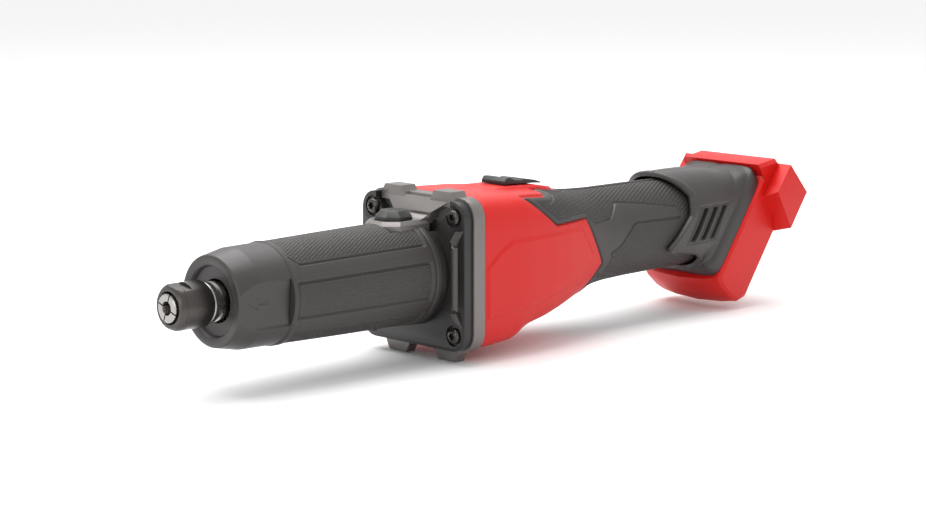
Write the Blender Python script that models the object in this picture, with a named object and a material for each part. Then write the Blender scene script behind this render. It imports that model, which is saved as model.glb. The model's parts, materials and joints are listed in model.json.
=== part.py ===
"""Cordless straight die grinder, bare tool without its battery.

All shapes are drawn in tool coordinates, in millimetres: X runs along the spindle from the collet to
the battery foot with X = 0 at the front flange's face, Y is across (left of the tool is -Y), and Z is
up with Z = 0 on the spindle axis. The row frame puts the middle of the outline over the origin and
the ground at Z = 0.
"""

from math import atan2, cos, hypot, pi, radians, sin

import bmesh
import bpy
from mathutils import Vector

MM = 0.001
GAP = 0.3  # between pieces that touch

# Driving dimensions
COLLET_FRONT = -155.3
REAR_END = 269.5
SPINDLE_HEIGHT = 45.0
FOOT_TILT = radians(35)

NOSE_FACE = -129.4
NOSE_SEAM = -91.7
NOSE_RADIUS = 22.0
CAP_RADIUS = 25.1
GRIP_REAR = -1.2
GRIP_REAR_RADIUS = 27.3
CORE_RADIUS = 21.5

FLANGE_HALF = 38.0
FLANGE_BACK = 5.6
FRAME_HALF = 39.0
FRAME_BACK = 13.3
CORNER = 10.0
SCREW_AT = 30.0
LUG_INNER, LUG_OUTER = 12.0, 24.5

LOCK_X = -13.0
BOSS_HALF = 12.8
COLLET_BORE = 3.2

# Along the foot's own length (upwards) and its own normal (backwards)
FOOT_LOW, FOOT_FRONT, FOOT_BACK = 96.5, 183.4, 210.4
FOOT_HALF = 28.6
EAR_HALF = 39.2
CROWN = 3.0
PLATE_LOW, PLATE_HIGH, PLATE_FRONT = 97.5, 165.8, 176.5
SLOT_HALF, RAIL_HALF, SLOT_LOW = 23.5, 19.5, 104.0

WALL = 2.5
SHELL_END = 196.0

# The motor housing and handle: X, half width, top, bottom, squareness
BODY = [
    (13.6, 38.4, 39.0, -40.0, 6.0),
    (26.0, 38.4, 38.8, -39.6, 6.0),
    (40.0, 38.2, 38.2, -38.4, 6.0),
    (46.0, 38.0, 38.0, -34.4, 6.0),
    (52.0, 37.6, 37.6, -32.6, 5.5),
    (66.0, 36.4, 36.6, -30.6, 5.0),
    (74.0, 35.3, 35.8, -29.1, 4.5),
    (80.0, 34.4, 35.2, -28.0, 4.2),
    (95.0, 31.2, 33.0, -25.2, 3.3),
    (108.0, 28.2, 31.2, -23.0, 2.8),
    (118.0, 26.2, 30.6, -21.9, 2.4),
    (132.0, 24.8, 30.3, -21.0, 2.2),
    (150.0, 24.3, 30.3, -20.4, 2.2),
    (181.0, 24.3, 30.2, -20.0, 2.2),
    (SHELL_END, 24.4, 30.2, -20.0, 2.2),
]
# Where the rubber grip lies over the body, seen from the side
GRIP_REGION = [
    (47.0, 36.0),
    (68.5, 19.8),
    (97.0, 20.0),
    (112.8, -6.2),
    (92.0, -27.0),
    (92.0, -60.0),
    (260.0, -60.0),
    (260.0, 60.0),
    (72.8, 60.0),
    (72.8, 36.1),
    (67.6, 34.5),
]
# The raised tongue under the slide switch, seen from above, and how its top falls
TONGUE_HALF = 13.0
TONGUE = [(42.0, 37.2), (50.0, 38.6), (60.0, 38.5), (78.0, 37.6), (90.0, 35.4), (96.0, 31.6)]
# X and Z of the screws that close the housing
SCREWS = [(22.0, 30.8), (22.0, -31.2), (88.0, 14.0), (150.0, 16.0)]


# ---------------------------------------------------------------- materials and objects


def material(name, colour, roughness, metallic=0.0):
    made = bpy.data.materials.new(name)
    made.use_nodes = True
    shader = made.node_tree.nodes["Principled BSDF"]
    shader.inputs["Base Color"].default_value = (*colour, 1)
    shader.inputs["Roughness"].default_value = roughness
    shader.inputs["Metallic"].default_value = metallic
    made.diffuse_color = (*colour, 1)
    return made


def clear_scene():
    for found in list(bpy.data.objects):
        bpy.data.objects.remove(found)


clear_scene()
RED = material("red_nylon", (0.78, 0.03, 0.025), 0.42)
DARK = material("dark_nylon", (0.06, 0.055, 0.055), 0.5)
RUBBER = material("grip_rubber", (0.07, 0.065, 0.063), 0.75)
BLACK = material("black_nylon", (0.02, 0.02, 0.02), 0.45)
GREY = material("cast_aluminium", (0.25, 0.25, 0.25), 0.5, 0.6)
ALLOY = material("turned_aluminium", (0.62, 0.63, 0.65), 0.35, 1.0)
STEEL = material("bright_steel", (0.7, 0.7, 0.7), 0.25, 1.0)
BLACKENED = material("blackened_steel", (0.12, 0.115, 0.11), 0.35, 0.9)
IRON = material("stator_iron", (0.3, 0.3, 0.32), 0.5, 0.9)
COPPER = material("copper", (0.72, 0.35, 0.18), 0.35, 1.0)
FELT = material("felt", (0.35, 0.33, 0.3), 0.95)
GREEN = material("circuit_board", (0.03, 0.18, 0.07), 0.5)
POTTING = material("potting", (0.03, 0.03, 0.035), 0.35)


def world(point):
    """Row-frame metres from tool millimetres."""
    middle = (COLLET_FRONT + REAR_END) / 2
    return Vector((point[0] - middle, point[1], point[2] + SPINDLE_HEIGHT)) * MM


def add(name, points, faces, finish, origin=(0, 0, 0)):
    """An object from tool-millimetre points, whose own origin is the given tool point."""
    mesh = bpy.data.meshes.new(name)
    start = world(origin)
    mesh.from_pydata([world(p) - start for p in points], [], faces)
    shape = bmesh.new()
    shape.from_mesh(mesh)
    bmesh.ops.recalc_face_normals(shape, faces=shape.faces)
    shape.to_mesh(mesh)
    shape.free()
    mesh.materials.append(finish)
    mesh.shade_smooth()
    mesh.set_sharp_from_angle(angle=radians(35))
    made = bpy.data.objects.new(name, mesh)
    made.location = start
    bpy.context.scene.collection.objects.link(made)
    return made


def helper(shape):
    """Marks an object as a cutter, which isn't part of the tool."""
    shape.hide_render = True
    shape.display_type = "WIRE"
    return shape


def boolean(target, other, operation):
    step = target.modifiers.new(other.name, "BOOLEAN")
    step.operation = operation
    step.object = helper(other)
    return target


def cut(target, *cutters):
    for cutter in cutters:
        boolean(target, cutter, "DIFFERENCE")
    return target


def join(target, *others):
    for other in others:
        boolean(target, other, "UNION")
    return target


# ---------------------------------------------------------------- shapes


def rings_solid(name, rings, finish, origin=(0, 0, 0), hollow=False):
    """A solid through rings of equally many points. Hollow: the last ring joins the first, with no caps."""
    count = len(rings[0])
    points = [p for ring in rings for p in ring]
    faces = []
    spans = len(rings) if hollow else len(rings) - 1
    for i in range(spans):
        a, b = i * count, (i + 1) % len(rings) * count
        for k in range(count):
            n = (k + 1) % count
            faces.append((a + k, a + n, b + n, b + k))
    if not hollow:
        faces.append(tuple(range(count - 1, -1, -1)))
        faces.append(tuple(range((len(rings) - 1) * count, len(rings) * count)))
    return add(name, points, faces, finish, origin)


def turned(name, profile, finish, segments=24, centre=(0, 0), origin=(0, 0, 0), start=0.0):
    """A piece turned about an axis along X. The profile lists (x, radius); on the axis it's closed by caps."""
    solid = profile[0][1] == 0
    rings = []
    for x, r in profile[1:-1] if solid else profile:
        turn = [start + 2 * pi * k / segments for k in range(segments)]
        rings.append([(x, centre[0] + r * cos(a), centre[1] + r * sin(a)) for a in turn])
    return rings_solid(name, rings, finish, origin, hollow=not solid)


def rod(name, x0, x1, r, finish, segments=24, **where):
    return turned(name, [(x0, 0), (x0, r), (x1, r), (x1, 0)], finish, segments, **where)


def pipe(name, x0, x1, inner, outer, finish, segments=24, **where):
    profile = [(x0, inner), (x0, outer), (x1, outer), (x1, inner)]
    return turned(name, profile, finish, segments, **where)


def upright(name, profile, finish, at, segments=24, origin=None):
    """A piece turned about a vertical axis at X, Y = at. The profile lists (z, radius) from end to end."""
    rings = []
    for z, r in profile:
        turn = [2 * pi * (k + 0.5) / segments for k in range(segments)]
        rings.append([(at[0] + r * cos(a), at[1] + r * sin(a), z) for a in turn])
    return rings_solid(name, rings, finish, origin or (*at, profile[0][0]))


def block(name, low, high, finish, origin=(0, 0, 0)):
    rings = []
    for x in (low[0], high[0]):
        rings.append(
            [(x, low[1], low[2]), (x, high[1], low[2]), (x, high[1], high[2]), (x, low[1], high[2])]
        )
    return rings_solid(name, rings, finish, origin)


def prism(name, outline, x0, x1, finish, origin=(0, 0, 0)):
    """An outline of (y, z) points extruded along X."""
    rings = [[(x, y, z) for y, z in outline] for x in (x0, x1)]
    return rings_solid(name, rings, finish, origin)


def slab(name, outline, y0, y1, finish, origin=(0, 0, 0)):
    """An outline of (x, z) points extruded along Y."""
    rings = [[(x, y, z) for x, z in outline] for y in (y0, y1)]
    return rings_solid(name, rings, finish, origin)


def rounded_square(half, radius, steps=5):
    """A square's outline in (y, z) with rounded corners."""
    outline = []
    for quarter in range(4):
        middle = half - radius
        cy = middle * (1 if quarter in (0, 3) else -1)
        cz = middle * (1 if quarter in (0, 1) else -1)
        for k in range(steps + 1):
            angle = quarter * pi / 2 + k * pi / 2 / steps
            outline.append((cy + radius * cos(angle), cz + radius * sin(angle)))
    return outline


def power(value, exponent):
    return (abs(value) ** exponent) * (1 if value >= 0 else -1)


def section(half, top, bottom, squareness, angle):
    """The (y, z) of a superellipse's outline at an angle."""
    y = half * power(cos(angle), 2 / squareness)
    z = (top + bottom) / 2 + (top - bottom) / 2 * power(sin(angle), 2 / squareness)
    return y, z


def body_ring(station, inset, count=24):
    """The body's outline at a station."""
    x, half, top, bottom, squareness = station
    turn = [2 * pi * (k + 0.5) / count for k in range(count)]
    inside = (half - inset, top - inset, bottom + inset, squareness)
    return [(x, *section(*inside, angle)) for angle in turn]


def tube(name, outer, inner, finish):
    """A solid between two rows of rings."""
    return rings_solid(name, outer + inner[::-1], finish, hollow=True)


def keep_side(shape, side):
    """Cuts away the other half of the tool, just past the middle plane."""
    low, high = sorted((side * GAP / 2, -side * 90))
    return cut(shape, block(f"cut_half_{shape.name}", (-200, low, -90), (300, high, 90), RED))


def body_between(start, end):
    """The body's stations from start to end, with a station made at each limit."""
    found = []
    for a, b in zip(BODY, BODY[1:]):
        for x in (start, end):
            if a[0] < x < b[0]:
                share = (x - a[0]) / (b[0] - a[0])
                found.append(tuple(p + (q - p) * share for p, q in zip(a, b)))
    return sorted(found + [s for s in BODY if start <= s[0] <= end])


def foot_point(along, normal, y=0.0):
    """Tool coordinates from the foot's own: along its length upwards, and along its normal backwards."""
    return (
        along * sin(FOOT_TILT) + normal * cos(FOOT_TILT),
        y,
        along * cos(FOOT_TILT) - normal * sin(FOOT_TILT),
    )


def foot_block(name, along, normal, half, finish, offset=0.0):
    """A block that lies square to the foot."""
    rings = []
    for n in normal:
        rings.append(
            [
                foot_point(along[0], n, offset - half),
                foot_point(along[1], n, offset - half),
                foot_point(along[1], n, offset + half),
                foot_point(along[0], n, offset + half),
            ]
        )
    return rings_solid(name, rings, finish)


def make_nose():
    profile = [
        (NOSE_FACE, 17.3),
        (NOSE_FACE, NOSE_RADIUS),
        (-116.8, 24.7),
        (NOSE_SEAM - GAP, CAP_RADIUS),
        (NOSE_SEAM - GAP, 17.6),
        (-119.0, 17.6),
        (-119.0, 14.6),
        (-122.5, 14.6),
        (-122.5, 10.7),
        (-126.0, 10.7),
        (-126.6, 16.8),
    ]
    turned("nose_cap", profile, DARK, 32)
    seat = 14.0 + GAP
    profile = [
        (-118.7, 12.2),
        (-118.7, 17.3),
        (NOSE_SEAM, 17.3),
        (NOSE_SEAM, CORE_RADIUS),
        (-4.6, CORE_RADIUS),
        (-4.6, 24.3),
        (-0.3, 24.3),
        (-0.3, 15.0),
        (-28.0, 15.0),
        (-28.0, seat),
        (-36.2, seat),
        (-36.2, 12.0),
        (-95.0, 12.0),
        (-95.0, seat),
        (-114.5, seat),
        (-114.5, 14.6),
        (-117.0, 14.6),
        (-117.0, 12.2),
    ]
    core = turned("spindle_housing", profile, ALLOY, 24)
    cut(core, upright("cut_core_stem", [(8, 3.6), (30, 3.6)], ALLOY, (LOCK_X, 0)))
    profile = [
        (NOSE_SEAM + GAP, CORE_RADIUS + GAP),
        (NOSE_SEAM + GAP, CAP_RADIUS),
        (-60.0, 26.0),
        (-12.0, 27.0),
        (GRIP_REAR - 3.6, GRIP_REAR_RADIUS),
        (GRIP_REAR - 3.6, CORE_RADIUS + GAP),
    ]
    sleeve = turned("barrel_grip", profile, RUBBER, 32)
    cut(sleeve, boss_shape("cut_sleeve_boss", GAP, 8.0, 40.0))
    pipe("spindle_seal", -118.4 + 1.5, -114.8, 7.3, 14.3, FELT)
    for name, x in (("a", -114.2), ("b", -103.6)):
        pipe(f"spindle_bearing_{name}", x, x + 8, 6.1, 14.0, STEEL)
    pipe("spindle_bearing_rear", -36.0, -28.3, 6.1, 14.0, STEEL)
    pipe("bearing_spacer", -106.0, -103.9, 11.5, 13.9, STEEL)


def boss_outline(grow):
    """The lock button's boss in plan: a square with cut corners, open towards the flange."""
    low, high, half, corner = LOCK_X - 13.5 - grow, -GAP + grow, BOSS_HALF + grow, 6.5
    return [
        (high, -half),
        (low + corner, -half),
        (low, -half + corner),
        (low, half - corner),
        (low + corner, half),
        (high, half),
    ]


def boss_shape(name, grow, z0, z1):
    rings = [[(x, y, z) for x, y in boss_outline(grow)] for z in (z0, z1)]
    return rings_solid(name, rings, GREY)


def make_gearcase():
    """The cast frame: a square ring with bumper lugs, a bearing web, and the lock button's boss."""
    frame = prism("gearcase", rounded_square(FRAME_HALF, CORNER), FLANGE_BACK + GAP, FRAME_BACK, GREY)
    for k, side in enumerate((-1, 1)):
        low, high = sorted((side * LUG_INNER, side * LUG_OUTER))
        for n, (up, reach, back) in enumerate(((1, 41.8, 13.0), (-1, SPINDLE_HEIGHT, 12.5))):
            outline = [
                (low - 2.5, up * 34),
                (high + 2.5, up * 34),
                (high + 2.5, up * (reach - 4.5)),
                (high, up * reach),
                (low, up * reach),
                (low - 2.5, up * (reach - 4.5)),
            ]
            join(frame, prism(f"lug_{k}_{n}", outline, 3.4 if up > 0 else 6.2, back, GREY))
    saddle = [
        [(x, y, z) for x, y in ((front, -half), (8.0, -half), (8.0, half), (front, half))]
        for front, half, z in ((-0.6, 12.5, 28.0), (-0.6, 14.0, 31.0), (4.0, 24.0, 37.5))
    ]
    join(frame, rings_solid("saddle", saddle, GREY))
    join(frame, boss_with_neck())
    cut(frame, rod("cut_frame_bore", 3.0, 6.5, 29.0, GREY))
    cut(frame, rod("cut_bearing_seat", 4.0, 20.0, 11.0 + GAP, GREY))
    pocket = upright("cut_button_pocket", [(23.2, 10.2), (40, 10.2)], GREY, (LOCK_X, 0), 8)
    stem = upright("cut_boss_stem", [(15, 3.6), (30, 3.6)], GREY, (LOCK_X, 0))
    cut(frame, pocket, stem)
    for k, (y, z) in enumerate(corners()):
        cut(frame, rod(f"cut_frame_hole_{k}", 0, 20, 2.3, GREY, 12, centre=(y, z)))
    return frame


def boss_with_neck():
    """The boss and the neck that ties it to the frame over the flange's notch."""
    low = [(x, y, 9.0) for x, y in boss_outline(0)]
    shoulder = [(x, y, 25.6) for x, y in boss_outline(0)]
    top = [(x, y, 27.6) for x, y in boss_outline(-1.8)]
    boss = rings_solid("boss", [low, shoulder, top], GREY)
    cut(boss, rod("cut_boss_core", -50, 3, CORE_RADIUS + GAP, GREY, 24))
    cut(boss, rod("cut_boss_ring", -4.9, 3, 24.6, GREY, 24))
    neck = [(-6.0, 25.0), (-6.0, 27.4), (-2.0, 28.6), (8.0, 35.0), (8.0, 25.0)]
    return join(boss, slab("boss_neck", neck, -11.5, 11.5, GREY))


def corners():
    return [(y, z) for y in (-SCREW_AT, SCREW_AT) for z in (-SCREW_AT, SCREW_AT)]


def make_flange():
    """The black cover plate over the gearcase, with a notch for the lock button's boss."""
    plate = prism("front_flange", rounded_square(FLANGE_HALF, CORNER - 1), 0, FLANGE_BACK, DARK)
    cut(plate, rod("cut_flange_bore", -5, 20, 24.3 + GAP, DARK))
    join(plate, pipe("collar", -4.4, 2.0, 25.0, 27.6, DARK, 32))
    notch = [(-14.5, 20), (14.5, 20), (27.5, 33.5), (27.5, 45), (-27.5, 45), (-27.5, 33.5)]
    cut(plate, prism("cut_flange_notch", notch, -9, 20, DARK))
    cut(plate, boss_shape("cut_collar_boss", GAP, 5.0, 40.0))
    for k, (y, z) in enumerate(corners()):
        cut(plate, rod(f"cut_flange_hole_{k}", -5, 20, 2.3, DARK, 12, centre=(y, z)))
        cut(plate, rod(f"cut_flange_sink_{k}", -5, 1.6, 5.4, DARK, 16, centre=(y, z)))
    for k, (y, z) in enumerate(corners()):
        profile = [(-1.4, 0), (-1.4, 3.0), (-0.4, 4.0), (1.3, 4.0), (1.3, 2.0), (13.0, 2.0), (13.0, 0)]
        screw = turned(f"flange_screw_{k + 1}", profile, BLACKENED, 16, centre=(y, z), origin=(0, y, z))
        cut(screw, rod(f"cut_torx_{k}", -5, 0.4, 1.7, BLACKENED, 6, centre=(y, z)))


# ---------------------------------------------------------------- spindle, collet and nut


def make_spindle():
    profile = [
        (-147.0, 5.7),
        (-147.0, 7.3),
        (-134.2, 7.3),
        (-133.6, 9.9),
        (-130.8, 9.9),
        (-130.8, 9.7),
        (-121.0, 9.7),
        (-120.4, 7.0),
        (-115.0, 7.0),
        (-114.6, 6.0),
        (-8.0, 6.0),
        (-8.0, 3.8),
        (-128.0, 3.8),
        (-128.6, 5.1),
    ]
    shaft = turned("spindle", profile, STEEL)
    for side in (-1, 1):
        low, high = sorted((side * 8.4, side * 15))
        cut(shaft, block(f"cut_wrench_flat_{side}", (-130.7, -15, low), (-121.2, 15, high), STEEL))
    bore = [(-21.5, 6.3), (-21.5, 11.0), (-3.5, 11.0), (-3.5, 4.3), (-7.3, 4.3), (-7.3, 6.3)]
    coupling = turned("coupling_sleeve", bore, STEEL)
    for k in range(2):
        hole = upright(f"cut_lock_hole_{k}", [(-20, 3.7), (20, 3.7)], STEEL, (LOCK_X, 0), 12)
        if k:
            hole.rotation_euler.x = pi / 2
            hole.location = world((LOCK_X, 0, 0)) + Vector((0, 20 * MM, 0))
        cut(coupling, hole)
    return shaft


def make_collet():
    """A split collet that the nut carries, and the nut that turns on it."""
    profile = [
        (COLLET_FRONT, COLLET_BORE),
        (COLLET_FRONT, 6.6),
        (-154.9, 7.0),
        (-151.0, 7.0),
        (-149.6, 6.2),
        (-148.0, 6.2),
        (-147.4, 5.2),
        (-130.5, 4.6),
        (-130.5, COLLET_BORE),
    ]
    collet = turned("collet", profile, STEEL)
    for k in range(2):
        slit = block(f"cut_slit_{k}", (-170, -0.3, -20), (-136, 0.3, 20), STEEL)
        slit.rotation_euler.x = radians(20) + k * pi / 2
        cut(collet, slit)
    profile = [
        (-154.0, 7.9),
        (-154.0, 9.6),
        (-152.4, 11.2),
        (-136.0, 11.3),
        (-135.3, 10.7),
        (-135.3, 7.7),
        (-148.4, 7.7),
        (-149.2, 6.5),
        (-149.4, 6.5),
        (-150.6, 7.4),
    ]
    nut = turned("collet_nut", profile, BLACKENED, 32)
    for k in range(2):
        flat = block(f"cut_nut_flat_{k}", (-170, -15, 10.0), (-145.5, 15, 15), BLACKENED)
        flat.rotation_euler.x = radians(12) + k * pi
        cut(nut, flat)


def make_motor():
    rod("motor_shaft", -7.6, 108.0, 4.0, STEEL, 24)
    pipe("motor_bearing_front", 4.4, 11.4, 4.1, 11.0, STEEL)
    pipe("motor_bearing_rear", 98.0, 105.0, 4.1, 11.0, STEEL)
    pipe("rear_bearing_cup", 96.0, 106.0, 11.3, 13.5, RUBBER)
    profile = [(32.0, 4.3), (32.0, 14.0), (74.0, 14.0), (74.0, 4.3)]
    turned("rotor_core", profile, IRON)
    make_fan()
    stator = pipe("stator_core", 34.0, 70.0, 23.2, 26.4, IRON, 36)
    for k in range(6):
        angle = k * pi / 3
        tooth = turned_block(f"tooth_{k}", (34.0, -4.0, 14.9), (70.0, 4.0, 24.6), IRON, angle)
        join(stator, tooth)
        coil = turned_block(f"coil_{k + 1}", (30.0, -6.6, 16.2), (74.0, 6.6, 21.6), COPPER, angle)
        window = ((33.5, -4.5, 5.0), (70.5, 4.5, 35.0))
        cut(coil, turned_block(f"cut_coil_{k}", *window, COPPER, angle))
    for name, x in (("front", 30.7), ("rear", 70.3)):
        pipe(f"stator_insulator_{name}", x, x + 3.0, 23.2, 25.6, BLACK)
    pipe("hall_sensor_board", 79.0, 80.6, 8.0, 22.0, GREEN)


def turned_block(name, low, high, finish, angle):
    """A block turned about the spindle's axis."""
    rings = []
    for x in (low[0], high[0]):
        ring = []
        for y, z in ((low[1], low[2]), (high[1], low[2]), (high[1], high[2]), (low[1], high[2])):
            ring.append((x, y * cos(angle) - z * sin(angle), y * sin(angle) + z * cos(angle)))
        rings.append(ring)
    return rings_solid(name, rings, finish)


def make_fan():
    profile = [(15.0, 4.3), (15.0, 26.5), (16.6, 26.5), (16.6, 8.0), (26.5, 8.0), (26.5, 4.3)]
    fan = turned("fan", profile, DARK)
    for k in range(9):
        angle = 2 * pi * (k + 0.25) / 9
        join(fan, turned_block(f"fan_blade_{k}", (16.0, -0.8, 11.0), (25.0, 0.8, 25.3), DARK, angle))


# ---------------------------------------------------------------- lock button and switch


def make_lock():
    profile = [(26.9, 9.8), (29.2, 9.8), (32.4, 6.5)]
    button = upright("lock_button", profile, BLACK, (LOCK_X, 0), 8)
    join(button, upright("lock_stem", [(12.2, 3.0), (28.0, 3.0)], BLACK, (LOCK_X, 0), 16))
    turns, wire, steps, low, high = 2, 0.3, 10, 23.7, 26.4
    rings = []
    for k in range(turns * steps + 1):
        angle = 2 * pi * k / steps
        height = low + (high - low) * k / (turns * steps)
        ring = []
        for j in range(6):
            out = 4.8 + wire * cos(j * pi / 3)
            up = height + wire * sin(j * pi / 3)
            ring.append((LOCK_X + out * cos(angle), out * sin(angle), up))
        rings.append(ring)
    rings_solid("lock_spring", rings, STEEL, origin=(LOCK_X, 0, low))


def make_switch():
    outline = [
        (57.0, 38.9),
        (57.0, 40.7),
        (58.6, 42.4),
        (61.0, 42.4),
        (65.0, 41.0),
        (69.5, 40.4),
        (71.5, 41.0),
        (79.0, 39.9),
        (84.0, 38.4),
        (84.0, 37.8),
        (78.0, 38.3),
        (62.0, 38.9),
    ]
    button = slab("slide_switch", outline, -8.6, 8.6, BLACK, origin=(71, 0, 38))
    join(button, block("switch_key", (60.0, -2.8, 28.6), (72.0, 2.8, 38.6), BLACK))
    rail = block("switch_rail", (56.0, -4.0, 27.2), (97.0, 4.0, 29.4), BLACK)
    cut(rail, block("cut_rail", (59.7, -3.1, 20), (72.3, 3.1, 35), BLACK))


# ---------------------------------------------------------------- housing, handle and foot


def web(name, x0, x1, r):
    """A rib inside the housing, open round a circle."""
    outer = [body_ring(s, 3.0) for s in body_between(x0, x1)]
    turn = [2 * pi * (k + 0.5) / 24 for k in range(24)]
    inner = [[(ring[0][0], r * cos(a), r * sin(a)) for a in turn] for ring in outer]
    return tube(name, outer, inner, RED)


def body_shell(name, start, inset, thickness, finish):
    stations = body_between(start, SHELL_END)
    outer = [body_ring(s, inset) for s in stations]
    inner = [body_ring(s, inset + thickness) for s in stations]
    return tube(name, outer, inner, finish)


def grown(outline, amount):
    """An outline with every corner moved out by about an amount."""
    found = []
    count = len(outline)
    for k in range(count):
        (ax, az), (bx, bz), (cx, cz) = outline[k - 1], outline[k], outline[(k + 1) % count]
        one = Vector((bz - az, ax - bx)).normalized()
        two = Vector((cz - bz, bx - cx)).normalized()
        way = (one + two) / (1 + one.dot(two))
        found.append((bx + way.x * amount, bz + way.y * amount))
    return found


def tongue(name, grow, floor, finish):
    """The raised tongue, which narrows towards the back."""
    rings = []
    for x, top in TONGUE:
        half = TONGUE_HALF - max(x - 84, 0) * 0.42 + grow
        edge = half - 1.6
        ring = [(-half, floor), (-half, top - 1.6), (-edge, top + grow)]
        ring += [(edge, top + grow), (half, top - 1.6), (half, floor)]
        rings.append([(x, y, z) for y, z in ring])
    rings[-1] = [(x + grow, y, z) for x, y, z in rings[-1]]
    return rings_solid(name, rings, finish)


def make_housing():
    for name, side in (("left", -1), ("right", 1)):
        stations = body_between(BODY[0][0], SHELL_END)
        outer = [body_ring(s, 0) for s in stations]
        inner = [body_ring(s, 3.4 if s[0] < 75 else 2 * WALL) for s in stations]
        shell = tube(f"housing_{name}", outer, inner, RED)
        skin = body_shell(f"cut_skin_{name}", 20.0, -6, WALL + GAP + 6, RED)
        boolean(skin, slab(f"cut_region_{name}", GRIP_REGION, -60, 60, RED), "INTERSECT")
        cut(shell, skin)
        join(shell, tongue(f"tongue_{name}", 0, 28.3, RED))
        for x0, x1, r in ((38.0, 41.0, 26.7), (99.0, 103.0, 13.8)):
            join(shell, web(f"web_{name}_{x0:.0f}", x0, x1, r))
        cut(shell, block(f"cut_rail_way_{name}", (36.0, -4.6, 26.0), (98.2, 4.6, 30.6), RED))
        cut(shell, block(f"cut_key_way_{name}", (51.0, -3.4, 29.0), (73.5, 3.4, 50.0), RED))
        grip = body_shell(f"handle_grip_{name}", 30.0, 0, WALL, RUBBER)
        inside = slab(f"cut_inside_{name}", grown(GRIP_REGION, -GAP), -60, 60, RUBBER)
        boolean(grip, inside, "INTERSECT")
        cut(grip, tongue(f"cut_tongue_{name}", GAP, 20.0, RUBBER))
        close_with_screws(name, side, shell, grip)
        keep_side(shell, side)
        keep_side(grip, side)


def close_with_screws(name, side, shell, grip):
    for k, (x, z) in enumerate(SCREWS):
        station = body_between(x - 0.01, x + 0.01)[0]
        middle, reach = (station[2] + station[3]) / 2, (station[2] - station[3]) / 2
        share = 1 - (abs(z - middle) / reach) ** station[4]
        wall = station[1] * share ** (1 / station[4])
        at = (x, z)
        end = wall - (5.8 if x > 100 else 3.0)
        join(shell, across(f"pillar_{name}_{k}", [(-end, 3.4), (end, 3.4)], RED, at))
        if side > 0:
            join(shell, across(f"seat_{name}_{k}", [(wall - 9, 4.8), (end - 0.8, 4.8)], RED, at))
        cut(shell, across(f"cut_shank_{name}_{k}", [(-9, 1.7), (60, 1.7)], RED, at))
        cut(shell, across(f"cut_head_{name}_{k}", [(wall - 6, 3.8), (60, 3.8)], RED, at))
        if x > 100:
            cut(grip, across(f"cut_grip_{name}_{k}", [(5, 4.0), (60, 4.0)], RUBBER, at))
        if side < 0:
            continue
        profile = [(-8.0, 1.4), (wall - 5.7, 1.4), (wall - 5.7, 3.0), (wall - 3.4, 3.0)]
        screw = across(f"housing_screw_{k + 1}", profile, BLACKENED, at)
        cut(screw, across(f"cut_drive_{k}", [(wall - 5, 1.3), (60, 1.3)], BLACKENED, at, 6))


def across(name, profile, finish, at, segments=10):
    """A piece turned about an axis across the tool at X, Z = at. The profile lists (y, radius)."""
    rings = []
    for y, r in profile:
        turn = [2 * pi * (k + 0.5) / segments for k in range(segments)]
        rings.append([(at[0] + r * cos(a), y, at[1] + r * sin(a)) for a in turn])
    return rings_solid(name, rings, finish, (at[0], profile[0][0], at[1]))


def shroud_ring(station, inset, count=24):
    """A superellipse that stands on a leaning line from the station's bottom to its top."""
    top, bottom, half, squareness = station
    lean = atan2(top[0] - bottom[0], top[1] - bottom[1])
    reach = hypot(top[0] - bottom[0], top[1] - bottom[1]) / 2 - inset
    centre = ((top[0] + bottom[0]) / 2, (top[1] + bottom[1]) / 2)
    points = []
    for k in range(count):
        y, v = section(half - inset, reach, -reach, squareness, 2 * pi * (k + 0.5) / count)
        points.append((centre[0] + v * sin(lean), y, centre[1] + v * cos(lean)))
    return points


def foot_xz(along, normal):
    x, _, z = foot_point(along, normal)
    return x, z


# From the lip to the plate: top X and Z, bottom X and Z, half width, squareness
SHROUD = [
    ((165.0, 33.4), (165.0, -22.9), 27.2, 2.3),
    ((180.0, 34.0), (180.0, -23.1), 27.4, 2.4),
    ((198.0, 34.2), (186.5, -23.1), 27.5, 2.6),
    ((214.0, 33.8), (192.0, -22.9), 26.8, 3.0),
    ((229.0, 32.6), (196.0, -21.8), 25.6, 3.4),
    (foot_xz(163.8, PLATE_FRONT - 1.4), foot_xz(98.6, PLATE_FRONT - 1.4), 25.4, 6.0),
    (foot_xz(PLATE_HIGH, PLATE_FRONT), foot_xz(PLATE_LOW, PLATE_FRONT), 26.8, 9.0),
    (foot_xz(162.8, FOOT_FRONT - GAP), foot_xz(PLATE_LOW, FOOT_FRONT - GAP), 27.4, 9.0),
]
# The shroud's front edge, seen from the side
SHROUD_CUT = [
    (150.0, 60.0),
    (176.0, 60.0),
    (176.0, 33.0),
    (184.5, 22.0),
    (184.5, 12.0),
    (167.5, -6.0),
    (168.5, -8.6),
    (189.0, -9.6),
    (196.5, -15.0),
    (197.0, -60.0),
    (150.0, -60.0),
]


def make_shroud():
    for name, side in (("left", -1), ("right", 1)):
        outer = [shroud_ring(station, 0) for station in SHROUD]
        inner = [shroud_ring(station, WALL - 0.1) for station in SHROUD]
        shell = tube(f"shroud_{name}", outer, inner, DARK)
        cut(shell, slab(f"cut_front_{name}", SHROUD_CUT, -60, 60, DARK))
        for k in range(3):
            x = 183.0 + 8.6 * k
            vent = [(x, -2.2), (x + 3.6, -2.2), (x + 15.0, 14.6), (x + 11.4, 14.6)]
            cut(shell, slab(f"cut_vent_{name}_{k}", vent, *sorted((side * 15, side * 40)), DARK))
        keep_side(shell, side)


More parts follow.
